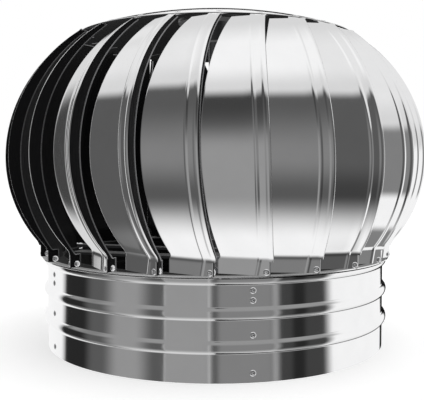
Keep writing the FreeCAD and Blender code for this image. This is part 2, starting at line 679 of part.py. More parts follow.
def vane_solid():
    solid_face, solid_back = inside(profile(0, blank_top)), inside(profile(vane_sheet, blank_top))
    blank = solid_face.cut(solid_back)
    outline = polyline([
        seen(vane_left, vane_top), seen(vane_left, foot_low), seen(tab_edge, foot_low),
        seen(tab_edge, notch_height), seen(edge_at(notch_height), notch_height),
    ])
    outline.append(edge_arc(0, notch_height, vane_top))
    outline.append(Part.LineSegment(seen(edge_at(vane_top), vane_top), seen(vane_left, vane_top)))
    sheet_part = blank.common(through(outline))

    ball = Part.makeSphere(ball_radius, dome_centre)
    neck_part = blank.common(box_seen(lug_left, lug_right, vane_top - vane_sheet, blank_top)).common(ball)
    shell = ball.cut(Part.makeSphere(ball_radius - vane_sheet, dome_centre))
    plan = Part.makeBox(lug_span, girth - lug_reach, value(FLAT_TOP), FreeCAD.Vector(lug_left, -girth, 0))
    lug_part = shell.common(plan).common(solid_face)

    strip = vane_sheet / math.cos(fold_turn)
    skin = Part.Wire([curve.toShape() for curve in profile(0, vane_top)]).extrude(
        FreeCAD.Vector(2 * edge_reach, 0, 0)
    )
    tab_strip = skin.common(box_seen(tab_edge - strip, tab_edge, foot_low, notch_height))
    flange_parts = [face.extrude(fold_in * value("foot_flange")) for face in tab_strip.Faces]
    band = [edge_arc(0, notch_height, flange_top)]
    band += polyline([seen(edge_at(flange_top), flange_top), seen(edge_at(flange_top) - strip, flange_top)])
    band.append(edge_arc(strip, notch_height, flange_top))
    notch_edge = edge_at(notch_height)
    band += polyline([seen(notch_edge - strip, notch_height), seen(notch_edge, notch_height)])
    deep, shallow = (value(name) * math.cos(fold_turn) for name in ("flange_depth", "flange_end"))
    hem_girth = girth - deep
    hem_foot = foot_face - shallow
    hem_top = -profile(0, vane_top)[-1].EndPoint.y - shallow
    below, above = girth_height - kink_height, vane_top - girth_height
    low_radius = (below ** 2 + (hem_girth - hem_foot) ** 2) / (2 * (hem_girth - hem_foot))
    high_radius = (above ** 2 + (hem_girth - hem_top) ** 2) / (2 * (hem_girth - hem_top))
    hem_corner = FreeCAD.Vector(0, -hem_foot, kink_height)
    hem = [
        Part.LineSegment(FreeCAD.Vector(0, -hem_foot, foot_low), hem_corner),
        bow(low_radius, hem_girth - low_radius, kink_height, girth_height),
        bow(high_radius, hem_girth - high_radius, girth_height, vane_top),
    ]
    for face in skin.common(through(band)).Faces:
        flange_parts.append(face.extrude(fold_in * (2 * value("flange_depth"))).cut(inside(hem)))
    return sheet_part.multiFuse([neck_part, lug_part] + flange_parts).removeSplitter()


vane = vane_solid()
vane_count = int(value("vane_count"))
vane_turns = [number * 360 / vane_count - value("vane_tilt") for number in range(vane_count)]
for number, turn in enumerate(vane_turns, 1):
    piece = group(f"vane_{number:02d}", vane.Solids)
    piece.Placement = turned_by(turn)

# Fasteners


def many_sided(sides, radius, level):
    """An even polygon round the z axis."""
    angles = [2 * math.pi * side / sides for side in range(sides + 1)]
    return Part.makePolygon([
        FreeCAD.Vector(radius * math.cos(angle), radius * math.sin(angle), level) for angle in angles
    ])


def prism(sides, radius, height, low=0.0):
    """A bar with this many flats, standing on z = low."""
    return Part.Face(many_sided(sides, radius, low)).extrude(UP * height)


def hexagon(flats, height, low=0.0):
    return prism(6, flats / math.sqrt(3), height, low)


def placed(solid, point, direction):
    """A copy of a fastener drawn on z, with its seat at the point and its head along the direction."""
    copy = solid.copy()
    copy.Placement = FreeCAD.Placement(point, FreeCAD.Rotation(UP, direction))
    return copy


def around(point, turn):
    return turned_by(turn).multVec(point)


def tapered(sides, radius, top_radius, height):
    """A low head with this many sides, standing on z = 0."""
    return Part.makeLoft([many_sided(sides, radius, 0), many_sided(sides, top_radius, height)], True, True)


def blind_rivet(grip):
    """A blind rivet through a grip: tapered head, shank and formed end. Its rounds have few sides."""
    head, shank, tail = value("rivet_head"), value("rivet_radius"), value("rivet_tail")
    tail_rise = value("rivet_tail_rise")
    pieces = [
        tapered(HEAD_SIDES, head, head / 2, value("rivet_rise")),
        prism(HEAD_SIDES, shank, grip, -grip),
        prism(HEAD_SIDES, tail, tail_rise, -grip - tail_rise),
    ]
    return pieces[0].multiFuse(pieces[1:]).removeSplitter()


def bolt(flats, shank, length):
    """A hexagon head above its seat and a shank below it."""
    head = hexagon(flats, value("bolt_head"))
    return head.fuse(Part.makeCylinder(shank, length, FreeCAD.Vector(0, 0, -length))).removeSplitter()


def nut(flats, bore, height):
    """A hexagon nut below its seat."""
    hole = Part.makeCylinder(bore, height, FreeCAD.Vector(0, 0, -height))
    return hexagon(flats, height, -height).cut(hole)


neck_face = value("neck_radius")
arm_rivet = blind_rivet(neck_face - value(ARM_FACE) + value("arm_thick"))
seam_seat = math.sqrt(value("neck_radius - neck_wall") ** 2 - value("rivet_tail") ** 2)
seam_rivet = blind_rivet(neck_face - seam_seat)
arm_turns = [value("arm_angle") + number * 360 / arm_count for number in range(arm_count)]
group("arm_rivets", [
    placed(arm_rivet, at_angle(turn, neck_face, value(height)), outward(turn))
    for turn in arm_turns for height in NECK_RIVETS
])
seam_turn = value("seam_angle")
group("seam_rivets", [
    placed(seam_rivet, at_angle(seam_turn, neck_face, value(height)), outward(seam_turn))
    for height in NECK_RIVETS
])

hub_shank, hub_flats = value("hub_bolt"), value("hub_bolt_flats")
hub_grip, hub_nut = value("arm_thick + hub_thick"), value("hub_nut")
hub_points = [at_angle(turn, value(HUB_CIRCLE), value(f"{ARM_SEAT} + arm_thick")) for turn in arm_turns]
hub_bolt = bolt(hub_flats, hub_shank, hub_grip + hub_nut + value("washer"))
group("hub_bolts", [placed(hub_bolt, point, UP) for point in hub_points])
group("hub_nuts", [
    placed(nut(hub_flats, hub_shank + value("thread_gap"), hub_nut), point - UP * hub_grip, UP)
    for point in hub_points
])

thread_gap, washer = value("thread_gap"), value("washer")
hub_under = FreeCAD.Vector(0, 0, value(f"{ARM_SEAT} - hub_thick"))
bearing_over = FreeCAD.Vector(0, 0, value(f"{UPPER_BEARING} + bearing_height"))


def washer_ring(radius, bore, low):
    ring = Part.makeCylinder(radius, washer, FreeCAD.Vector(0, 0, low))
    return ring.cut(Part.makeCylinder(bore, washer, FreeCAD.Vector(0, 0, low)))


thread, upper_bore = value("spindle_thread"), value("upper_bore")
group("hub_washer", [washer_ring(value("hub_washer"), thread + thread_gap, hub_under.z - washer)])
spindle_nut = nut(value("spindle_nut_flats"), thread + thread_gap, value("spindle_nut"))
group("spindle_nut", [placed(spindle_nut, hub_under - UP * washer, UP)])
group("top_washer", [washer_ring(value("top_washer"), upper_bore + thread_gap, bearing_over.z)])
top_nut = nut(value("top_nut_flats"), upper_bore + thread_gap, value("top_nut"))
group("top_nut", [placed(top_nut, bearing_over + UP * (washer + value("top_nut")), UP)])

bolt_count = int(value("housing_bolts"))
small_shank, small_flats = value("housing_bolt"), value("housing_bolt_flats")
quarter_turns = [number * 360 / bolt_count for number in range(bolt_count)]
plate_grip = value(f"{FLAT_TOP} - {FLAT_UNDER} + flange_thick")
group("upper_housing_bolts", [
    placed(bolt(small_flats, small_shank, plate_grip),
           at_angle(turn, value(HOUSING_CIRCLE), value(FLAT_TOP)), UP)
    for turn in quarter_turns
])
lower_grip = value("flange_thick + spider_thick")
group("lower_housing_bolts", [
    placed(bolt(small_flats, small_shank, lower_grip),
           at_angle(turn + value("spider_angle"), value(LOWER_CIRCLE),
                    value(f"{LOWER_BEARING} + flange_thick")), UP)
    for turn in quarter_turns
])

spider_rivet = blind_rivet(value("spider_thick + ring_sheet"))
spider_arms = int(value("spider_arms"))
spider_turns = [value("spider_angle") + number * 360 / spider_arms for number in range(spider_arms)]
group("spider_rivets", [
    placed(spider_rivet, at_angle(turn, value(radius), value(f"{RING_TOP} + spider_thick")), UP)
    for turn in spider_turns for radius in SPIDER_RIVETS
])

vane_head = tapered(HEAD_SIDES, value("rivet_head"), value("rivet_head") / 2, value("rivet_rise"))
foot_rivet_height = value(f"{RING_TOP} + foot_rivet")
tab_point = FreeCAD.Vector(value(f"{TAB_EDGE} - tab_rivet"), -foot_face, foot_rivet_height)
tab_face = FreeCAD.Vector(0, -1, 0)
flange_point = fold_out_side * value(FOLD_ACROSS) + fold_in * (value("flange_rivet") - value(FOLD_OUT))
flange_point.z = foot_rivet_height
lug_point = FreeCAD.Vector(lug_left + lug_span / 2, -(lug_reach + value("lug_length") / 2), 0)
lug_point.z = dome_centre.z + math.sqrt(value("dome_curve") ** 2 - lug_point.x ** 2 - lug_point.y ** 2)
for label, point, direction in (
    ("foot_rivets", tab_point, tab_face),
    ("flange_rivets", flange_point, fold_out_side),
    ("top_rivets", lug_point, lug_point - dome_centre),
):
    group(label, [placed(vane_head, around(point, turn), around(direction, turn)) for turn in vane_turns])

# Every feature and every node is tested, and then written

doc.recompute()
for feature in doc.Objects:
    if "Invalid" in feature.State or "Error" in feature.State:
        raise RuntimeError(f"{feature.Label} failed: {feature.State}")
for node in nodes:
    if node.Shape.isNull() or not node.Shape.isValid() or not node.Shape.Solids:
        raise RuntimeError(f"{node.Label} has no valid solid")

os.makedirs("parts", exist_ok=True)
for node in nodes:
    node.Shape.exportStep(f"parts/{node.Label}.step")
print(f"{len(nodes)} nodes, {sum(len(node.Shape.Solids) for node in nodes)} solids")
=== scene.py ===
"""Looks of the rotating cowl: polished sheet, domed blind rivets and a studio round it. Metres, +Z up."""

import json
import math

import bmesh
import bpy
from mathutils import Matrix, Vector

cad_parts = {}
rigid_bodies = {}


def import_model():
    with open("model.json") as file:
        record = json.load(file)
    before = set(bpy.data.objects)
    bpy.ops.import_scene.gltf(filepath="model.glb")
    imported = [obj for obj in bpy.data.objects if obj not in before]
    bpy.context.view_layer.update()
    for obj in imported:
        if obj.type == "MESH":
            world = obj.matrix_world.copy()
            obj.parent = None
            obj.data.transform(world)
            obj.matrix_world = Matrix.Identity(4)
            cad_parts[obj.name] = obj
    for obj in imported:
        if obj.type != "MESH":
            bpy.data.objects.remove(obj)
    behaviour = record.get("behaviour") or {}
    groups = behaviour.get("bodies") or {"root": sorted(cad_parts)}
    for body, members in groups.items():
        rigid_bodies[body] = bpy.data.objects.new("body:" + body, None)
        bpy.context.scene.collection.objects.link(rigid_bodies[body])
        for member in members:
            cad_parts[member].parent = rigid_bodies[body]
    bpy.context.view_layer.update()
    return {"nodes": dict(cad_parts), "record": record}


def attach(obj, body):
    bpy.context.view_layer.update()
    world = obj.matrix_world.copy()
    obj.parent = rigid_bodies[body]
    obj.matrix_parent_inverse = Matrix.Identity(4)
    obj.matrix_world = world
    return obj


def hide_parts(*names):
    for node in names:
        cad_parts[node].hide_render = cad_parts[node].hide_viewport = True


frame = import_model()
MM = 0.001
CREASE = math.radians(40)

# Materials


def shade(name, colour, roughness, metallic=1.0, specular=0.5, grain=(900, 60), grain_depth=0.012, wave=(9, 0.08),
          tone=0.04, blotch=40):
    """A procedural metal: rolled grain in its roughness and bump, a slow wave, and a little variation of tone."""
    material = bpy.data.materials.new(name)
    material.use_nodes = True
    nodes, links = material.node_tree.nodes, material.node_tree.links
    shader = nodes["Principled BSDF"]
    shader.inputs["Metallic"].default_value = metallic
    shader.inputs["Specular IOR Level"].default_value = specular
    place = nodes.new("ShaderNodeTexCoord")

    def noise(scale, detail, stretch=(1, 1, 1)):
        mapping = nodes.new("ShaderNodeMapping")
        mapping.inputs["Scale"].default_value = stretch
        links.new(place.outputs["Object"], mapping.inputs["Vector"])
        texture = nodes.new("ShaderNodeTexNoise")
        texture.inputs["Scale"].default_value = scale
        texture.inputs["Detail"].default_value = detail
        links.new(mapping.outputs["Vector"], texture.inputs["Vector"])
        return texture.outputs["Fac"]

    fine = noise(grain[0], 3, (1, 1, grain[1] / grain[0]))
    spread = nodes.new("ShaderNodeMapRange")
    for socket, number in (
        ("From Min", 0.3), ("From Max", 0.7), ("To Min", roughness * 0.75), ("To Max", roughness * 1.25),
    ):
        spread.inputs[socket].default_value = number
    links.new(fine, spread.inputs["Value"])
    links.new(spread.outputs["Result"], shader.inputs["Roughness"])
    ramp = nodes.new("ShaderNodeValToRGB")
    for element, share in zip(ramp.color_ramp.elements, (1 - tone, 1 + tone)):
        element.color = (*[min(1, channel * share) for channel in colour], 1)
    links.new(noise(blotch, 2), ramp.inputs["Fac"])
    links.new(ramp.outputs["Color"], shader.inputs["Base Color"])
    normal = None
    for height, strength, depth in ((noise(wave[0], 1), 1, wave[1] * MM), (fine, grain_depth, 0.2 * MM)):
        bump = nodes.new("ShaderNodeBump")
        bump.inputs["Strength"].default_value = strength
        bump.inputs["Distance"].default_value = depth
        links.new(height, bump.inputs["Height"])
        if normal:
            links.new(normal, bump.inputs["Normal"])
        normal = bump.outputs["Normal"]
    links.new(normal, shader.inputs["Normal"])
    return material


POLISHED = shade("polished_sheet", (0.93, 0.93, 0.935), 0.07)
NECK = shade("polished_neck", (0.93, 0.93, 0.935), 0.08)
# Near-black painted shade: the sheet's inner and under sides, the vanes' return flanges and the ring's web are bright
# steel, and this colour stands in for the shade that falls on them.
INSIDE_PAINTED_SHADE = shade("sheet_inside_painted_shade", (0.006, 0.006, 0.0065), 0.6, metallic=0, specular=0.05, grain_depth=0.05)
# Darkened edge colour, painted shade: the vanes' cut rims and hems are the same bright steel, and this darker colour
# paints the shadowed lines at the gaps between vanes.
DARKENED_EDGE = shade("cut_edge_painted_shade", (0.24, 0.24, 0.245), 0.3, grain=(1500, 1500))
RIVET = shade("rivet", (0.78, 0.78, 0.79), 0.16, grain=(2500, 2500), tone=0.08, blotch=300)
# Bar, bearing and housing steel are far darker than the steel really is: painted shade for the parts inside the
# rotor, seen through the gaps.
BAR_PAINTED_DARK = shade("bar_steel", (0.05, 0.05, 0.052), 0.45, grain=(1500, 80), grain_depth=0.08, tone=0.1)
ZINC = shade("zinc_plate", (0.3, 0.31, 0.33), 0.34, grain=(1800, 1800), tone=0.12, blotch=120)
BEARING_PAINTED_DARK = shade("bearing_steel", (0.16, 0.16, 0.165), 0.25, grain=(2500, 200))
HOUSING_PAINTED_DARK = shade("turned_housing_painted_dark", (0.1, 0.1, 0.103), 0.4, grain=(200, 2500), grain_depth=0.06)
SLOT_MATERIALS = {
    "sheet_steel": POLISHED, "rivet_metal": RIVET, "bar_steel": BAR_PAINTED_DARK, "zinc_steel": ZINC, "bearing_steel": BEARING_PAINTED_DARK,
    "housing_steel": HOUSING_PAINTED_DARK,
}
for part in frame["record"]["subparts"]:
    node = frame["nodes"][part["node"]]
    node.data.materials.clear()
    node.data.materials.append(SLOT_MATERIALS[part["material_slot"]])

# Pieces in mesh code, in millimetres


def piece(name, vertices, faces, materials, body, replaced, kinds=None):
    """One object on a body, in place of CAD nodes. kinds gives each face its material."""
    mesh = bpy.data.meshes.new(name)
    mesh.from_pydata([Vector(vertex) * MM for vertex in vertices], [], faces)
    for material in materials:
        mesh.materials.append(material)
    if kinds:
        mesh.polygons.foreach_set("material_index", kinds)
    mesh.polygons.foreach_set("use_smooth", [True] * len(faces))
    mesh.validate()
    mesh.set_sharp_from_angle(angle=CREASE)
    thing = bpy.data.objects.new(name, mesh)
    bpy.context.scene.collection.objects.link(thing)
    set_out(thing, body, replaced)
    return thing


def set_out(thing, body, replaced):
    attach(thing, body)
    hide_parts(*replaced)


def spun(profile, steps):
    """Vertices and faces of a closed profile of (radius, height) that goes round the axis."""
    vertices, faces = [], []
    for step in range(steps):
        turn = 2 * math.pi * step / steps
        vertices += [(radius * math.sin(turn), -radius * math.cos(turn), height) for radius, height in profile]
    count = len(profile)
    for step in range(steps):
        here, there = step * count, (step + 1) % steps * count
        for index in range(count):
            after = (index + 1) % count
            faces.append((here + index, there + index, there + after, here + after))
    return vertices, faces


def at_angle(degrees, radius, height):
    """The point at an angle from the front, a radius and a height."""
    turn = math.radians(degrees)
    return Vector((radius * math.sin(turn), -radius * math.cos(turn), height))


def arc(centre, radius, start, end, steps):
    """Points of an arc between two angles in degrees, both ends included."""
    points = []
    for step in range(steps + 1):
        angle = math.radians(start + (end - start) * step / steps)
        points.append(Vector((centre[0] + radius * math.cos(angle), centre[1] + radius * math.sin(angle))))
    return points


def offset_line(points, distance):
    """The line moved to its left by a distance."""
    moved = []
    for index, point in enumerate(points):
        before, after = points[max(index - 1, 0)], points[min(index + 1, len(points) - 1)]
        along = (after - before).normalized()
        moved.append(point + Vector((-along.y, along.x)) * distance)
    return moved


def hump(distance, half):
    """A smooth rise from 0 at +-half to 1 in the middle."""
    return math.cos(math.pi / 2 * distance / half) ** 2 if abs(distance) < half else 0


def smooth(value, low, high):
    share = min(1, max(0, (value - low) / (high - low)))
    return share * share * (3 - 2 * share)


# Neck: rolled beads whose crests run into the wall in small fillets, and a flared rim that is half a bead

NECK_RADIUS, NECK_WALL, NECK_TOP = 200, 0.8, 100.8
BEAD_CRESTS, BEAD_RISE, CREST_RADIUS, FILLET = (34.5, 66.9), 4.2, 6.8, 2.0
BEAD_GAP = 16
BEAD_SLOPE = math.degrees(math.acos(1 - BEAD_RISE / (CREST_RADIUS + FILLET)))
BEAD_HALF = (CREST_RADIUS + FILLET) * math.sin(math.radians(BEAD_SLOPE))


def bead(crest, end):
    """The outer line of a bead up to an angle on its crest, or on to the wall above it."""
    centre = (NECK_RADIUS + BEAD_RISE - CREST_RADIUS, crest)
    below, above = ((NECK_RADIUS + FILLET, crest + side * BEAD_HALF) for side in (-1, 1))
    line = arc(below, FILLET, 180, 180 - BEAD_SLOPE, 6) + arc(centre, CREST_RADIUS, -BEAD_SLOPE, end, 16)[1:]
    if end > 0:
        line += arc(above, FILLET, 180 + BEAD_SLOPE, 180, 6)[1:]
    return line


neck_outer = [Vector((NECK_RADIUS, height)) for height in (0, 12, 24)]
for crest in BEAD_CRESTS:
    neck_outer += bead(crest, BEAD_SLOPE)
    neck_outer.append(Vector((NECK_RADIUS, crest + BEAD_GAP)))
neck_outer += bead(NECK_TOP, 0)
neck_profile = neck_outer + offset_line(neck_outer, NECK_WALL)[::-1]
vertices, faces = spun([tuple(point) for point in neck_profile], 360)
# The neck's inner wall gets the near-black painted shade.
kinds = [0 if index % len(neck_profile) < len(neck_outer) else 1 for index in range(len(faces))]
neck_skin = piece("neck_skin", vertices, faces, [NECK, INSIDE_PAINTED_SHADE], "neck", ["neck_shell"], kinds)

# Top plate: a flat middle, a domed annulus and a trimmed rim

DOME_CENTRE, DOME_CURVE, DOME_SHEET, DOME_RIM, DOME_FLAT, DOME_BLEND = -113, 500, 1, 166, 50, 4
RIM_TRIM, DOME_STEPS = 0.35, 44


def dome_height(radius, curve):
    return DOME_CENTRE + math.sqrt(curve ** 2 - radius ** 2)


def dome_line(curve):
    """The line of one side of the plate, from its middle to its rim."""
    level = dome_height(DOME_FLAT, curve)
    start = DOME_FLAT - DOME_BLEND
    line = [(0.01, level), (25, level), (start, level)]
    for step in range(1, DOME_STEPS + 1):
        radius = start + (DOME_RIM - start - RIM_TRIM) * step / DOME_STEPS
        share = smooth(radius, DOME_FLAT - DOME_BLEND, DOME_FLAT + DOME_BLEND)
        line.append((radius, level + (dome_height(radius, curve) - level) * share))
    return line


plate_top = dome_line(DOME_CURVE)
plate_under = dome_line(DOME_CURVE - DOME_SHEET)
rim_middle = (plate_top[-1][1] + plate_under[-1][1]) / 2
plate_rim = [(DOME_RIM, rim_middle - 0.2), (DOME_RIM, rim_middle + 0.2)]
plate_profile = plate_under + plate_rim + plate_top[::-1]
vertices, faces = spun(plate_profile, 240)
# The plate's underside gets the near-black painted shade.
kinds = [1 if index % len(plate_profile) < len(plate_under) else 0 for index in range(len(faces))]
piece("top_plate_skin", vertices, faces, [POLISHED, INSIDE_PAINTED_SHADE], "rotor", ["top_plate"], kinds)

# Vanes, drawn square to the axes: x is along the width, -y out through the face

VANES, VANE_TILT, VANE_SHEET = 24, 19.5, 0.8
GIRTH, GIRTH_HEIGHT, UPPER_CURVE = 211.3, 220, 163.96
FOOT_FACE, FOOT_LOW, BEND_LOW, BEND_RADIUS = 172.83, 103.6, 115.5, 12
BEND_TURN = 2 * math.atan((GIRTH - FOOT_FACE) / (GIRTH_HEIGHT - BEND_LOW))
BEND_TOP = BEND_LOW + BEND_RADIUS * math.sin(BEND_TURN)
LOWER_CURVE = (GIRTH_HEIGHT - BEND_LOW) / math.sin(BEND_TURN) - BEND_RADIUS
VANE_TOP, FLANGE_TOP, NOTCH, TAB_EDGE = 356.98, 355.5, 117, 117.5
FOOT_LEFT, LEFT_REACH, LEFT_HEIGHT, LEFT_CURVE_LOW, LEFT_CURVE_HIGH = 64.2, 60.3, 262, 1400, 780
EDGE_REACH, EDGE_HEIGHT, EDGE_CURVE = 128.3, 203, 465
FOLD_TURN, FOLD_RADIUS, HEM = math.radians(31.2), 1.0, 0.4
DEEP, SHALLOW, FOOT_FLANGE = (length * math.cos(FOLD_TURN) for length in (13, 8, 12.2))
RIB_CENTRE, RIB_HALF, RIB_RISE = 14.4, 2.6, 0.55
LIP_CENTRE, LIP_HALF, LIP_RISE = 3.6, 3.9, 0.6
ROLL, ROLL_DROP = 1.4, 0.3
LUG_REACH, LUG_CURVE = 118.98, 498.8


def face_at(height):
    """Distance of a vane's face from the axis plane at a height."""
    if height <= BEND_LOW:
        return FOOT_FACE
    if height < BEND_TOP:
        return FOOT_FACE + BEND_RADIUS - math.sqrt(BEND_RADIUS ** 2 - (height - BEND_LOW) ** 2)
    radius = UPPER_CURVE if height > GIRTH_HEIGHT else LOWER_CURVE
    return GIRTH - radius + math.sqrt(radius ** 2 - (height - GIRTH_HEIGHT) ** 2)


def edge_at(height):
    return EDGE_REACH - EDGE_CURVE + math.sqrt(EDGE_CURVE ** 2 - (height - EDGE_HEIGHT) ** 2)


def left_at(height):
    """A vane's left edge: bowed, and straight at the foot."""
    curve = LEFT_CURVE_LOW if height < LEFT_HEIGHT else LEFT_CURVE_HIGH
    bowed = LEFT_REACH + curve - math.sqrt(curve ** 2 - (height - LEFT_HEIGHT) ** 2)
    return FOOT_LEFT + (bowed - FOOT_LEFT) * smooth(height, BEND_LOW, BEND_TOP)


def hem_at(height):
    """How far in the return flange reaches at a height."""
    low = height < GIRTH_HEIGHT
    span = GIRTH_HEIGHT - BEND_LOW if low else VANE_TOP - GIRTH_HEIGHT
    drop = GIRTH - DEEP + SHALLOW - (FOOT_FACE if low else face_at(VANE_TOP))
    radius = (span ** 2 + drop ** 2) / (2 * drop)
    reach = min(abs(height - GIRTH_HEIGHT), span)
    return GIRTH - DEEP - radius + math.sqrt(radius ** 2 - reach ** 2)


FACE_COLUMNS = [0, 0.3, 0.65, 1.0, ROLL]
RIB_COLUMNS = [RIB_CENTRE + RIB_HALF * (1 - step / 5) for step in range(11)]
LIP_START = LIP_CENTRE + LIP_HALF
FOLD_STEPS, FLANGE_STEPS, HEM_STEPS, FLAT_STEPS, LIP_STEPS = 6, 4, 6, 6, 8
HEM_TURN = math.radians(110)
FOOT_ROWS, BEND_ROWS, FACE_ROWS = 5, 12, 72


def relief(from_edge, height):
    """How far a vane's rib and lip stand out of its face, at a distance from its right edge."""
    top_fade = 1 - 0.6 * smooth(height, VANE_TOP - 20, VANE_TOP)
    lip_fade = smooth(height, NOTCH, NOTCH + 12)
    rib = RIB_RISE * hump(from_edge - RIB_CENTRE, RIB_HALF)
    return top_fade * (rib + lip_fade * LIP_RISE * hump(from_edge - LIP_CENTRE, LIP_HALF))


def vane_row(height, folded):
    """The outer line of a vane's section, from its left edge to its fold, and on to the hem if it is folded."""
    face, left, right = face_at(height), left_at(height), edge_at(height)
    edge = right if height >= NOTCH else TAB_EDGE
    reach = FOLD_RADIUS * math.tan((math.pi / 2 + FOLD_TURN) / 2) if folded else 0.01
    last = edge - reach
    columns = [left + step for step in FACE_COLUMNS]
    rib_start = right - RIB_COLUMNS[0]
    columns += [columns[-1] + (rib_start - columns[-1]) * step / FLAT_STEPS for step in range(1, FLAT_STEPS)]
    columns += [right - distance for distance in RIB_COLUMNS]
    lip_start = min(right - LIP_START, last - 1)
    columns += [lip_start + (last - lip_start) * step / LIP_STEPS for step in range(LIP_STEPS + 1)]
    points = []
    for across in columns:
        roll = max(0, 1 - (across - left) / ROLL)
        points.append((across, face + relief(right - across, height) - ROLL_DROP * roll ** 2))
    end_out = points[-1][1]
    if not folded:
        return points + [(last + 0.01 * step / FOLD_STEPS, end_out) for step in range(1, FOLD_STEPS + 1)]
    for step in range(1, FOLD_STEPS + 1):
        angle = math.pi / 2 - (math.pi / 2 + FOLD_TURN) * step / FOLD_STEPS
        points.append((last + FOLD_RADIUS * math.cos(angle), end_out - FOLD_RADIUS * (1 - math.sin(angle))))
    start = points[-1]
    inner = FOOT_FACE - FOOT_FLANGE if height < NOTCH else hem_at(height)
    length = (start[1] - inner) / math.cos(FOLD_TURN) - HEM
    for step in range(1, FLANGE_STEPS + 1):
        along = length * step / FLANGE_STEPS
        points.append((start[0] - math.sin(FOLD_TURN) * along, start[1] - math.cos(FOLD_TURN) * along))
    base = points[-1]
    for step in range(1, HEM_STEPS + 1):
        angle = HEM_TURN * step / HEM_STEPS
        ahead, aside = HEM * math.sin(angle), HEM * (1 - math.cos(angle))
        points.append((
            base[0] - math.sin(FOLD_TURN) * ahead + math.cos(FOLD_TURN) * aside,
            base[1] - math.cos(FOLD_TURN) * ahead - math.sin(FOLD_TURN) * aside,
        ))
    return points


def vane_mesh():
    """One vane's sheet: the folded rows, the plain rows over its flange, and the lug that goes on under the dome."""
    heights = [FOOT_LOW + (BEND_LOW - FOOT_LOW) * step / FOOT_ROWS for step in range(FOOT_ROWS + 1)]
    heights += [BEND_LOW + BEND_RADIUS * math.sin(BEND_TURN * step / BEND_ROWS) for step in range(1, BEND_ROWS + 1)]
    heights += [BEND_TOP + (FLANGE_TOP - BEND_TOP) * step / FACE_ROWS for step in range(1, FACE_ROWS + 1)]
    heights = sorted(heights + [NOTCH - 0.01, NOTCH])
    rows = [vane_row(height, True) for height in heights]
    folded_rows = len(rows)
    plain = [FLANGE_TOP + 0.01, (FLANGE_TOP + VANE_TOP) / 2, VANE_TOP]
    rows += [vane_row(height, False) for height in plain]
    heights += plain
    width, plain_width = len(rows[0]), len(rows[-1])
    vertices = [
        (across, -out, height)
        for row, height in zip(rows, heights) for across, out in row + [row[-1]] * (width - len(row))
    ]
    faces, kinds = [], []
    flange_start = plain_width - 1

    def strip(index, columns):
        for column in columns:
            start = index * width + column
            faces.append((start, start + 1, start + width + 1, start + width))
            past = column - flange_start
            # Past the fold's first three polished steps, the rest of the fold and the return flange get the
            # near-black painted shade (kind 2), and the hem gets the darkened edge colour, also painted shade (kind
            # 4).
            kinds.append(0 if past < -3 else 2 if past < FLANGE_STEPS else 4)

    for index in range(len(rows) - 1):
        strip(index, range(width - 1 if index < folded_rows - 1 else plain_width - 1))
    first = len(FACE_COLUMNS) + FLAT_STEPS - 1
    lug_columns = range(first, first + len(RIB_COLUMNS) + 6)
    head = rows[-1]
    for step, inward in enumerate((0.7, 1.2, 2, 4, 8, 13, head[first][1] - LUG_REACH)):
        row = []
        for across, out in head:
            reach = out - inward if step < 6 else LUG_REACH
            sphere = DOME_CENTRE + math.sqrt(LUG_CURVE ** 2 - across ** 2 - reach ** 2)
            row.append((across, -reach, min(sphere, VANE_TOP + inward * 0.658)))
        vertices += row + [row[-1]] * (width - len(row))
        strip(len(rows) - 1 + step, lug_columns)
    sheet = bmesh.new()
    placed = [sheet.verts.new(Vector(vertex) * MM) for vertex in vertices]
    for face, kind in zip(faces, kinds):
        made = sheet.faces.new([placed[index] for index in face])
        made.material_index, made.smooth = kind, True
    bmesh.ops.remove_doubles(sheet, verts=sheet.verts, dist=0.04 * MM)
    bmesh.ops.delete(sheet, geom=[vertex for vertex in sheet.verts if not vertex.link_faces], context="VERTS")
    mesh = bpy.data.meshes.new("vane_sheet")
    sheet.to_mesh(mesh)
    sheet.free()
    # The sheet's inner side gets the near-black painted shade, and its cut rims get the darkened edge colour, also
    # painted shade.
    for material in (POLISHED, INSIDE_PAINTED_SHADE, INSIDE_PAINTED_SHADE, INSIDE_PAINTED_SHADE, DARKENED_EDGE):
        mesh.materials.append(material)
    blank = bpy.data.objects.new("vane_blank", mesh)
    bpy.context.scene.collection.objects.link(blank)
    solid = blank.modifiers.new("thickness", "SOLIDIFY")
    solid.thickness = VANE_SHEET * MM
    solid.offset = -1
    solid.material_offset = 1
    solid.material_offset_rim = 4
    result = bpy.data.meshes.new_from_object(blank.evaluated_get(bpy.context.evaluated_depsgraph_get()))
    result.name = "vane_sheet"
    result.set_sharp_from_angle(angle=CREASE)
    bpy.data.objects.remove(blank)
    return result


vane = vane_mesh()
vane_turns = [number * 360 / VANES - VANE_TILT for number in range(VANES)]
for number, turn in enumerate(vane_turns, 1):
    skin = bpy.data.objects.new(f"vane_skin_{number:02d}", vane)
    skin.matrix_world = Matrix.Rotation(math.radians(turn), 4, "Z")
    bpy.context.scene.collection.objects.link(skin)
    set_out(skin, "rotor", [f"vane_{number:02d}"])

# Bottom ring: a flat web with two upturned lugs behind each vane's foot

WEB_LOW, WEB_INNER, WEB_SHADE, WEB_OUTER, LUG_TOP, WEB_TRIM = 102.4, 181, 198, 206.5, 112, 0.15
TAB_LUG = (107.4, 115.0, 170.83, 172.03)
FLANGE_LUG = (8.976, 10.176, 196.5, 203.7)
web_profile = [
    (WEB_INNER, WEB_LOW), (WEB_OUTER - WEB_TRIM, WEB_LOW), (WEB_OUTER, WEB_LOW + WEB_TRIM),
    (WEB_OUTER, FOOT_LOW - WEB_TRIM), (WEB_OUTER - WEB_TRIM, FOOT_LOW), (WEB_SHADE, FOOT_LOW), (WEB_INNER, FOOT_LOW),
]
vertices, faces = spun(web_profile, 288)
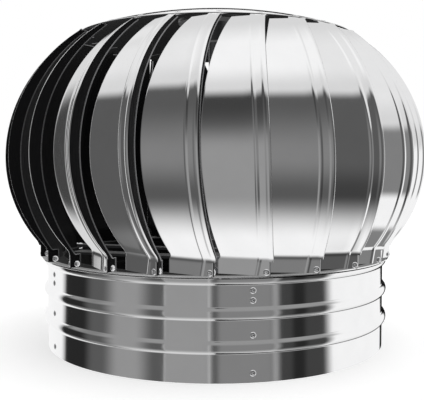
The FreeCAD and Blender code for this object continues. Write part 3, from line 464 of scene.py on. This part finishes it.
# Painted shade: the web's top face inside WEB_SHADE, its under face and inner edge, and all the lugs get the
# near-black colour; only the outer rim and the top's outer band are polished.
kinds = [0 if 1 <= index % len(web_profile) <= 4 else 1 for index in range(len(faces))]
for turn in vane_turns:
    for (left, right, near, far), lean in ((TAB_LUG, 0), (FLANGE_LUG, FOLD_TURN)):
        spin = Matrix.Rotation(math.radians(turn) + lean, 3, "Z")
        first = len(vertices)
        for height, trim in ((WEB_LOW + 0.4, 0), (LUG_TOP - 0.3, 0), (LUG_TOP, 0.2)):
            for across, out in ((left, near), (right, near), (right, far), (left, far)):
                across += trim if across == left else -trim
                out += trim if out == near else -trim
                vertices.append(spin @ Vector((across, -out, height)))
        for level in (first, first + 4):
            for side in range(4):
                after = (side + 1) % 4
                faces.append((level + after, level + side, level + 4 + side, level + 4 + after))
        faces += [(first, first + 1, first + 2, first + 3), (first + 11, first + 10, first + 9, first + 8)]
        kinds += [1] * 10
piece("bottom_ring_skin", vertices, faces, [POLISHED, INSIDE_PAINTED_SHADE], "rotor", ["bottom_ring"], kinds)

# Blind rivets: a domed head with the mandrel's end in its dimple, and a formed end behind the sheets

HEAD, HEAD_RISE, TAIL, TAIL_RISE = 3.2, 1.15, 2.6, 2.0
HEAD_SECTION = [(HEAD, -0.3), (HEAD, 0.12), (HEAD * 0.97, 0.3), (HEAD * 0.9, 0.55), (HEAD * 0.76, 0.82)]
HEAD_SECTION += [(HEAD * 0.6, 1.02), (HEAD * 0.46, HEAD_RISE), (1.25, 1.14), (1.1, 1.0), (1.0, 0.5), (0.85, 0.48)]
HEAD_SECTION += [(0.8, 0.8), (0.5, 0.9), (0.01, 0.92)]
TAIL_SECTION = [(0.01, -TAIL_RISE), (1.6, -TAIL_RISE), (TAIL * 0.9, -1.6), (TAIL, -1), (TAIL * 0.9, -0.3), (1.7, 0.2)]
RIVET_SIDES, FLAT_HEAD = 20, 0.45


def rivets(name, seats, body, grip=None, rise=1.0):
    """Rivets on seats of (point, direction). With a grip they have a formed end that far behind the seat."""
    vertices, faces = [], []
    sections = [[(radius, level * rise) for radius, level in HEAD_SECTION]]
    if grip:
        sections.append([(radius, level - grip) for radius, level in TAIL_SECTION])
    for point, direction in seats:
        turn = Vector((0, 0, 1)).rotation_difference(direction).to_matrix()
        for section in sections:
            first, count = len(vertices), len(section)
            for side in range(RIVET_SIDES):
                angle = 2 * math.pi * side / RIVET_SIDES
                for radius, level in section:
                    spot = Vector((radius * math.cos(angle), radius * math.sin(angle), level))
                    vertices.append(point + turn @ spot)
            for side in range(RIVET_SIDES):
                here, there = first + side * count, first + (side + 1) % RIVET_SIDES * count
                for index in range(count - 1):
                    faces.append((here + index, there + index, there + index + 1, here + index + 1))
    piece(f"{name}_skin", vertices, faces, [RIVET], body, [name])


NECK_RIVETS = (9.2, 46, 79.5, 89)
SEAM_ANGLE, ARM_ANGLE = -61.5, 10.5
for name, turns, grip in (
    ("seam_rivets", [SEAM_ANGLE], 0.82), ("arm_rivets", [ARM_ANGLE + 120 * number for number in range(3)], 4.34),
):
    rivets(name, [
        (at_angle(turn, NECK_RADIUS, height), at_angle(turn, 1, 0)) for turn in turns for height in NECK_RIVETS
    ], "neck", grip)
SPIDER_ANGLE, SPIDER_TOP = 12.3, 106.6
rivets("spider_rivets", [
    (at_angle(SPIDER_ANGLE + 120 * number, radius, SPIDER_TOP), Vector((0, 0, 1)))
    for number in range(3) for radius in (184.5, 190.5)
], "rotor", 4.2)


def round_about(point, direction):
    """The seat repeated on every vane."""
    spins = [Matrix.Rotation(math.radians(turn), 3, "Z") for turn in vane_turns]
    return [(spin @ point, spin @ direction) for spin in spins]


FOOT_RIVET = 107
flange_side = Vector((math.cos(FOLD_TURN), math.sin(FOLD_TURN), 0))
top_point = Vector((93, -128.2, 0))
top_point.z = dome_height(math.hypot(top_point.x, top_point.y), DOME_CURVE)
rivets("foot_rivets", round_about(Vector((113, -FOOT_FACE, FOOT_RIVET)), Vector((0, -1, 0))), "rotor")
rivets("flange_rivets", round_about(Vector((113, -165.4, FOOT_RIVET)), flange_side), "rotor")
top_out = (top_point - Vector((0, 0, DOME_CENTRE))).normalized()
rivets("top_rivets", round_about(top_point, top_out), "rotor", rise=FLAT_HEAD)

# Studio: a white world and floor, and a surround of cards that only the metal shows

scene = bpy.context.scene
scene.view_settings.view_transform = "Standard"


def shown_share(tree):
    """1 for what is seen straight, in metal and through glass, and 0 for light that falls on the object."""
    path = tree.nodes.new("ShaderNodeLightPath")
    total = None
    for ray in ("Is Camera Ray", "Is Glossy Ray", "Is Transmission Ray"):
        if total is None:
            total = path.outputs[ray]
            continue
        add = tree.nodes.new("ShaderNodeMath")
        add.operation = "ADD"
        add.use_clamp = True
        tree.links.new(total, add.inputs[0])
        tree.links.new(path.outputs[ray], add.inputs[1])
        total = add.outputs[0]
    return total


def scaled(tree, share, low, high):
    """A number that goes from low to high as a share goes from 0 to 1."""
    node = tree.nodes.new("ShaderNodeMapRange")
    node.inputs["To Min"].default_value = low
    node.inputs["To Max"].default_value = high
    tree.links.new(share, node.inputs["Value"])
    return node.outputs["Result"]


WORLD_LIGHT, FLOOR_LIFT, FLOOR_TONE, FLOOR_REACH = 0.85, 0.4, 0.8, 30
world = bpy.data.worlds.new("studio")
scene.world = world
world.use_nodes = True
backdrop = world.node_tree.nodes["Background"]
backdrop.inputs["Color"].default_value = (1, 1, 1, 1)
world.node_tree.links.new(
    scaled(world.node_tree, shown_share(world.node_tree), WORLD_LIGHT, 1), backdrop.inputs["Strength"]
)

floor_mesh = bpy.data.meshes.new("floor")
floor_sides = ((-1, -1), (1, -1), (1, 1), (-1, 1))
floor_corners = [(across * FLOOR_REACH, along * FLOOR_REACH, 0) for across, along in floor_sides]
floor_mesh.from_pydata(floor_corners, [], [(0, 1, 2, 3)])
floor = bpy.data.objects.new("floor", floor_mesh)
scene.collection.objects.link(floor)
floor.visible_glossy = False
floor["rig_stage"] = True
paint = bpy.data.materials.new("floor")
paint.use_nodes = True
floor_mesh.materials.append(paint)
paint_shader = paint.node_tree.nodes["Principled BSDF"]
paint_shader.inputs["Base Color"].default_value = (FLOOR_TONE, FLOOR_TONE, FLOOR_TONE, 1)
paint_shader.inputs["Roughness"].default_value = 0.9
paint_shader.inputs["Specular IOR Level"].default_value = 0
paint_shader.inputs["Emission Color"].default_value = (1, 1, 1, 1)
paint.node_tree.links.new(
    scaled(paint.node_tree, shown_share(paint.node_tree), 0, FLOOR_LIFT), paint_shader.inputs["Emission Strength"]
)

# The surround: wide shells, seen in the metal alone. A card's place is the way that a surface has to face to show
# it from the front: an azimuth and an elevation in degrees. Its tone is a display level from 0 to 255.


def stage_shell(name, radius):
    """A wide shell that only metal shows, and its empty node tree."""
    mesh = bpy.data.meshes.new(name)
    thing = bpy.data.objects.new(name, mesh)
    scene.collection.objects.link(thing)
    for ray in ("camera", "diffuse", "transmission", "shadow", "volume_scatter"):
        setattr(thing, f"visible_{ray}", False)
    thing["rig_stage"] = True
    shell = bmesh.new()
    bmesh.ops.create_icosphere(shell, subdivisions=5, radius=radius)
    shell.to_mesh(mesh)
    shell.free()
    material = bpy.data.materials.new(name)
    material.use_nodes = True
    material.node_tree.nodes.clear()
    mesh.materials.append(material)
    return thing, material.node_tree


def show(colour, see_through):
    """Makes the colour the light that the shell gives."""
    glow = tree.nodes.new("ShaderNodeEmission")
    tree.links.new(colour, glow.inputs["Color"])
    surface = tree.nodes.new("ShaderNodeOutputMaterial")
    result = glow.outputs[0]
    if see_through:
        add = tree.nodes.new("ShaderNodeAddShader")
        tree.links.new(result, add.inputs[0])
        tree.links.new(tree.nodes.new("ShaderNodeBsdfTransparent").outputs[0], add.inputs[1])
        result = add.outputs[0]
    tree.links.new(result, surface.inputs["Surface"])


def light_only(shell, name, things, state):
    """Links the shell's light to some objects (INCLUDE), or to all but those (EXCLUDE)."""
    group = bpy.data.collections.new(name)
    for thing in things:
        group.objects.link(thing)
    for link in group.collection_objects:
        link.light_linking.link_state = state
    shell.light_linking.receiver_collection = group


def fill(node, *sources):
    """Sets or links a node's inputs in order, and gives its first output."""
    for socket, source in zip(node.inputs, sources):
        if isinstance(source, (int, float, tuple)):
            socket.default_value = source
        else:
            tree.links.new(source, socket)
    return node.outputs[0]


def calc(operation, *sources):
    node = tree.nodes.new("ShaderNodeMath")
    node.operation = operation
    return fill(node, *sources)


def vector(operation, *sources):
    node = tree.nodes.new("ShaderNodeVectorMath")
    node.operation = operation
    return fill(node, *sources)


def angles(direction):
    """Azimuth from the front and elevation of a direction, in degrees."""
    split = tree.nodes.new("ShaderNodeSeparateXYZ")
    tree.links.new(direction, split.inputs[0])
    turn = calc("ARCTAN2", split.outputs["X"], calc("MULTIPLY", split.outputs["Y"], -1.0))
    return calc("DEGREES", turn), calc("DEGREES", calc("ARCSINE", split.outputs["Z"]))


def share_of(value, low, high, kind="SMOOTHSTEP"):
    """0 at low and 1 at high, whichever is larger."""
    node = tree.nodes.new("ShaderNodeMapRange")
    node.interpolation_type = kind
    node.inputs["From Min"].default_value = low
    node.inputs["From Max"].default_value = high
    tree.links.new(value, node.inputs["Value"])
    return node.outputs["Result"]


def linear(level):
    """Scene light for a display level from 0 to 255."""
    share = level / 255
    return share / 12.92 if share <= 0.04045 else ((share + 0.055) / 1.055) ** 2.4


def within(angle, span, soft):
    """1 inside a span of angles and 0 outside it, with edges that are soft degrees wide."""
    low, high = span
    rise = share_of(angle, low - soft / 2, low + soft / 2)
    return calc("MULTIPLY", rise, share_of(angle, high + soft / 2, high - soft / 2))


def mixed(share, first, second):
    """The first colour or level where the share is 0, the second where it is 1."""
    mix = tree.nodes.new("ShaderNodeMix")
    mix.data_type = "RGBA"
    tree.links.new(share, mix.inputs["Factor"])
    for source, socket in ((first, mix.inputs[6]), (second, mix.inputs[7])):
        if isinstance(source, (int, float)):
            socket.default_value = (linear(source),) * 3 + (1,)
        else:
            tree.links.new(source, socket)
    return mix.outputs[2]


def facing_angles():
    """Azimuth and elevation of the way that a surface faces to show the shell's point to the camera.

    The same two angles of the point itself come after them.
    """
    geometry = tree.nodes.new("ShaderNodeNewGeometry")
    direction = vector("NORMALIZE", geometry.outputs["Position"])
    dot = vector("DOT_PRODUCT", direction, (0.0, -1.0, 0.0)).node
    lean = tree.nodes.new("ShaderNodeMapRange")
    for socket, number in (("From Min", -0.95), ("From Max", -0.6), ("To Min", 1.0), ("To Max", -1.0)):
        lean.inputs[socket].default_value = number
    tree.links.new(dot.outputs["Value"], lean.inputs["Value"])
    shift = tree.nodes.new("ShaderNodeCombineXYZ")
    tree.links.new(lean.outputs["Result"], shift.inputs["Y"])
    return angles(vector("NORMALIZE", vector("ADD", direction, shift.outputs[0]))) + angles(direction)


def place_cards(behind, rows):
    """Plain cards, each over what is behind it: (tone, azimuths, their softness, elevations, their softness)."""
    for tone, turns, turn_soft, tilts, tilt_soft in rows:
        share = calc("MULTIPLY", within(turn, turns, turn_soft), within(tilt, tilts, tilt_soft))
        behind = mixed(share, behind, tone)
    return behind


BLACK, INK, DARK, SHADE, GREY, SILVER, PALE, WHITE = 15, 40, 65, 90, 130, 150, 220, 250
EVERYWHERE, BELOW = (-400, 400), -400

FRONT_WALL = (GREY, (-66, 41), 7, (BELOW, 30), 4)
BACK_FLAG = (DARK, (-154, -130), 10, (BELOW, 30), 8)
LEFT_FLAG = (SHADE, (-68, -46), 14, (-30, 30), 10)
LOW_FLAG = (SHADE, (-68, 27), 8, (-27, -8), 14)
HIGH_FLAG = (SHADE, (-68, 27), 8, (10, 40), 18)
RIGHT_FLAG = (SHADE, (8, 26), 8, (-30, 40), 10)
RIGHT_LOW_FLAG = (DARK, (8, 26), 8, (-27, -8), 12)
FRONT_LIGHT = (SILVER, (-29, -10), 10, (-26, 6), 12)
FRONT_HIGH_FLAG = (DARK, (-29, -11), 8, (11, 40), 16)
FLOOR_DARK = (SHADE, (-150, -56), 14, (BELOW, -26), 20)
FLOOR_LIGHT = (WHITE, (-46, 24), 18, (BELOW, -26), 20)
RIGHT_LOW_LIGHT = (WHITE, (27, 43), 5, (-31, -16), 4)
STUDIO = [
    (WHITE, (10, 400), 20, EVERYWHERE, 1), FRONT_WALL, BACK_FLAG, LEFT_FLAG, LOW_FLAG, HIGH_FLAG, RIGHT_FLAG,
    RIGHT_LOW_FLAG, FRONT_LIGHT, FRONT_HIGH_FLAG, FLOOR_DARK, FLOOR_LIGHT, RIGHT_LOW_LIGHT,
]

surround, tree = stage_shell("surround", 40)
turn, tilt, true_turn, true_tilt = facing_angles()
card = place_cards(PALE, STUDIO)
# The top light comes down lower on the right.
drop = calc("MULTIPLY", share_of(turn, 17, 29), 12.0)
drop = calc("ADD", drop, calc("MULTIPLY", share_of(turn, 38, 48), 7.0))
lifted = calc("ADD", tilt, calc("ADD", drop, calc("MULTIPLY", within(turn, (-48, -26), 6), -3.0)))
card = mixed(share_of(lifted, 20.3, 24.5), card, PALE)
top_light = share_of(lifted, 25, 35)
card = mixed(top_light, card, 235)
card = mixed(calc("MULTIPLY", top_light, within(turn, (-33, 12), 12)), card, WHITE)
card = mixed(share_of(tilt, 44, 58), card, PALE)
grazing = calc("MULTIPLY", share_of(true_turn, 148, 153), share_of(true_tilt, 29, 25))
card = mixed(calc("MULTIPLY", grazing, share_of(true_tilt, -16, -12)), card, BLACK)
horizon = mixed(share_of(tilt, 4.8, 5.4), GREY, BLACK)
horizon = mixed(share_of(tilt, 10.8, 11.4), horizon, WHITE)
show(mixed(share_of(calc("ABSOLUTE", turn), 171, 174), card, horizon), False)
light_only(surround, "all_but_neck", [neck_skin], "EXCLUDE")

# The neck stands lower than the vanes and shows a part of the studio of its own: upright cards, and plain ones
# over and under them for the beads.

NECK_STUDIO = [
    (SHADE, (-57, -15.8), 1, EVERYWHERE, 1), (INK, (-58, -44.5), 5, EVERYWHERE, 1),
    (SILVER, (-35, -22.5), 7, EVERYWHERE, 1), (SILVER, (-15.8, -2), 1, EVERYWHERE, 1),
    (GREY, (-2, 19), 3, EVERYWHERE, 1), (SHADE, (-1, 1), 2, EVERYWHERE, 1), (DARK, (19, 38.5), 5, EVERYWHERE, 1),
    (INK, (25, 29.5), 2.5, EVERYWHERE, 1),
    (SILVER, (-56, 42), 8, (22, 400), 16), (GREY, (-50, -40), 6, (22, 400), 16),
    (PALE, EVERYWHERE, 1, (BELOW, -40), 40), (SHADE, (-54, -34), 8, (BELOW, -40), 40),
    (SILVER, (24, 37), 8, (BELOW, -40), 40),
]

neck_surround, tree = stage_shell("neck_surround", 30)
turn, tilt, true_turn, _ = facing_angles()
card = place_cards(WHITE, NECK_STUDIO)
show(mixed(share_of(true_turn, 148, 152), card, BLACK), True)
light_only(neck_surround, "neck_only", [neck_skin], "INCLUDE")

LAMP_SIZE, LAMP_POWER, LAMP_PLACE, LAMP_AIM = 1.6, 8, (0.5, -0.6, 2.2), Vector((0, 0, 0.2))
lamp = bpy.data.lights.new("soft_top", "AREA")
lamp.shape = "DISK"
lamp.size = LAMP_SIZE
lamp.energy = LAMP_POWER
lamp_object = bpy.data.objects.new("soft_top", lamp)
lamp_object.location = LAMP_PLACE
lamp_object.rotation_euler = (LAMP_AIM - lamp_object.location).to_track_quat("-Z", "Y").to_euler()
lamp_object.visible_glossy = False
scene.collection.objects.link(lamp_object)

PICTURE_WIDTH, FOCAL_LENGTH, SENSOR = 424, 713.566, 36  # the first two in pixels
CAMERA_PLACE, CAMERA_PITCH, CAMERA_TURN = (0, -0.872694, 0.206542), -0.0459, 0.0041
camera = bpy.data.cameras.new("camera")
camera.sensor_width = SENSOR
camera.lens = FOCAL_LENGTH / PICTURE_WIDTH * SENSOR
camera_object = bpy.data.objects.new("camera", camera)
camera_object.location = CAMERA_PLACE
camera_object.rotation_euler = (math.pi / 2 + CAMERA_PITCH, 0, CAMERA_TURN)
scene.collection.objects.link(camera_object)
scene.camera = camera_object

# The object's own pieces don't mirror each other.
for thing in scene.objects:
    if thing.type == "MESH" and not thing.get("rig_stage"):
        thing.visible_glossy = False
